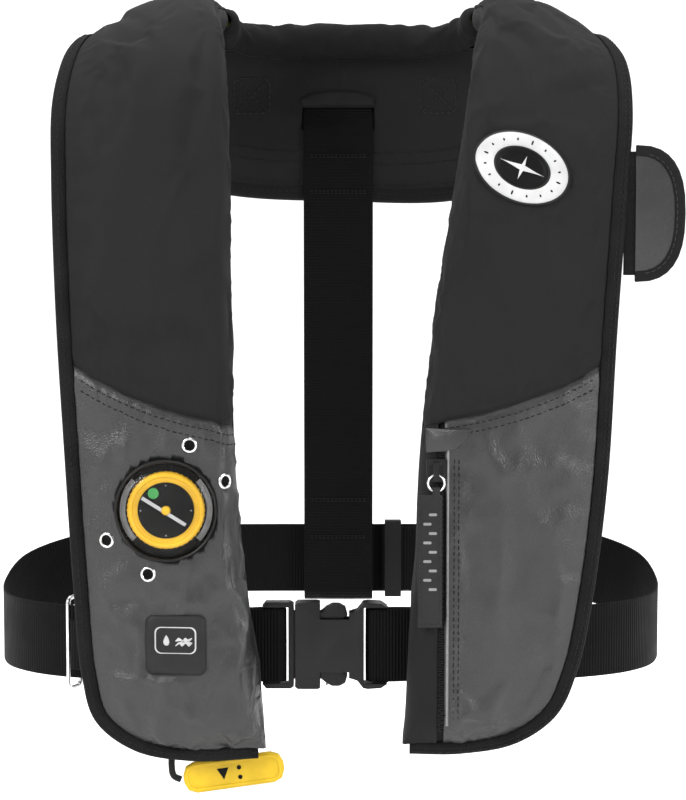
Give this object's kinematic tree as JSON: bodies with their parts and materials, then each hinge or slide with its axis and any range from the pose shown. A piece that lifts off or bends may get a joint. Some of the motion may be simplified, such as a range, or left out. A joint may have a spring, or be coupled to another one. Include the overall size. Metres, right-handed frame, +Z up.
{
  "type": "inflatable life jacket",
  "caption": "Horse-collar inflatable life jacket with leather-grain chest covers, inflator window, pull handle, waist belt and side release buckle",
  "frame": {"origin": "on the axis of the wearer's neck, level with the top of the collar", "axes": "+Z up, -Y the wearer's front, +X the wearer's left"},
  "size_m": [0.4633, 0.2419, 0.5362],
  "materials": {
    "nylon": "plain woven nylon, matt charcoal, fine weave",
    "leather_grain": "coated fabric with a fine pebbled leather grain, satin",
    "binding_tape": "woven edge tape, matt black",
    "webbing": "ribbed woven webbing, near black",
    "bladder": "coated bladder cloth, satin",
    "black_plastic": "moulded, satin gloss",
    "dark_plastic": "moulded, matt",
    "yellow_plastic": "moulded, satin",
    "handle_rubber": "soft moulded, satin yellow",
    "green_plastic": "matt green",
    "clear_plastic": "clear moulded dome",
    "steel": "polished",
    "cylinder_steel": "plated",
    "rubber_patch": "moulded patch, satin",
    "badge": "moulded badge, satin white and black",
    "oral_red": "matt red tube"
  },
  "bodies": {
    "root": {"back_panel_cover": "nylon", "back_panel_hem": "binding_tape", "back_panel_lining": "nylon", "back_strap": "webbing", "belt": "webbing", "belt_tail": "webbing", "binding_left": "binding_tape", "binding_right": "binding_tape", "bladder_collar": "bladder", "bladder_left": "bladder", "bladder_right": "bladder", "buckle_female": "black_plastic", "chest_patch": "rubber_patch", "cover_lower_left": "leather_grain", "cover_lower_right": "leather_grain", "cover_upper_left": "nylon", "cover_upper_right": "nylon", "dial_face": "dark_plastic", "eyelet_1": "steel", "eyelet_2": "steel", "eyelet_3": "steel", "eyelet_4": "steel", "gas_cylinder": "cylinder_steel", "indicator_button": "green_plastic", "inflator_body": "dark_plastic", "inflator_cap": "yellow_plastic", "lining_left": "nylon", "lining_right": "nylon", "neck_roll": "nylon", "oral_tube": "oral_red", "oval_badge": "badge", "pocket_strip": "nylon", "ring_tab": "webbing", "window_dome": "clear_plastic", "window_rim": "black_plastic", "zip_coil": "dark_plastic"},
    "clamp_ring": {"clamp_ring": "dark_plastic"},
    "firing_lever": {"firing_lever": "dark_plastic"},
    "handle": {"pull_handle": "handle_rubber", "pull_lanyard": "webbing"},
    "zip_slider": {"zip_slider": "dark_plastic"},
    "puller": {"puller_ring": "steel", "puller_tab": "black_plastic"},
    "zip_flap": {"zip_flap": "leather_grain"},
    "side_tab": {"side_tab_panel": "leather_grain", "side_tab_tape": "binding_tape"},
    "belt_ring": {"belt_ring": "steel"},
    "belt_keeper": {"belt_keeper": "webbing"},
    "oral_valve": {"oral_valve": "badge"},
    "buckle_male": {"buckle_male": "black_plastic", "front_strap": "webbing"},
    "prong_upper": {"prong_upper": "black_plastic"},
    "prong_lower": {"prong_lower": "black_plastic"}
  },
  "joints": [
    {"name": "buckle_release", "type": "slide", "parent": "root", "child": "buckle_male", "axis": [-1, 0, 0], "range_m": [0, 0.018]},
    {"name": "prong_upper_flex", "type": "hinge", "parent": "buckle_male", "child": "prong_upper", "pos_m": [-0.026, -0.0678, -0.398], "axis": [0, 1, 0], "range_deg": [0, 15]},
    {"name": "prong_lower_flex", "type": "hinge", "parent": "buckle_male", "child": "prong_lower", "pos_m": [-0.026, -0.0678, -0.438], "axis": [0, -1, 0], "range_deg": [0, 15]},
    {"name": "handle_pull", "type": "slide", "parent": "root", "child": "handle", "axis": [0, 0, -1], "range_m": [0, 0.025]},
    {"name": "lever_turn", "type": "hinge", "parent": "root", "child": "firing_lever", "pos_m": [-0.097, -0.0953, -0.345], "axis": [0, -1, 0], "range_deg": [0, 70]},
    {"name": "zip_run", "type": "slide", "parent": "root", "child": "zip_slider", "axis": [0, 0, -1], "range_m": [0, 0.141]},
    {"name": "puller_swing", "type": "hinge", "parent": "zip_slider", "child": "puller", "pos_m": [0.0625, -0.1192, -0.2959], "axis": [-1, 0, 0], "range_deg": [0, 85]},
    {"name": "flap_lift", "type": "hinge", "parent": "root", "child": "zip_flap", "pos_m": [0.07, -0.1181, -0.2658], "axis": [-1, 0, 0], "range_deg": [0, 100], "stiffness_Nm_per_rad": 0.01},
    {"name": "tab_fold", "type": "hinge", "parent": "root", "child": "side_tab", "pos_m": [0.195, -0.094, -0.126], "axis": [0, 0, 1], "range_deg": [-70, 70], "stiffness_Nm_per_rad": 0.02},
    {"name": "ring_swivel", "type": "hinge", "parent": "root", "child": "belt_ring", "pos_m": [-0.1843, -0.0649, -0.418], "axis": [0, 0, 1], "range_deg": [-10, 10]},
    {"name": "keeper_slide", "type": "slide", "parent": "root", "child": "belt_keeper", "axis": [1, 0, 0], "range_m": [0, 0.02]},
    {"name": "clamp_turn", "type": "hinge", "parent": "root", "child": "clamp_ring", "pos_m": [-0.115, -0.11165, -0.32], "axis": [0, -1, 0], "range_deg": [0, 30]},
    {"name": "valve_press", "type": "slide", "parent": "root", "child": "oral_valve", "axis": [0, 0, -1], "range_m": [0, 0.003], "stiffness_N_per_m": 300}
  ],
  "couplings": [
    {"joint": "prong_upper_flex", "follows": "buckle_release", "rad_per_m": 14},
    {"joint": "prong_lower_flex", "follows": "buckle_release", "rad_per_m": 14},
    {"joint": "lever_turn", "follows": "handle_pull", "rad_per_m": 48}
  ]
}
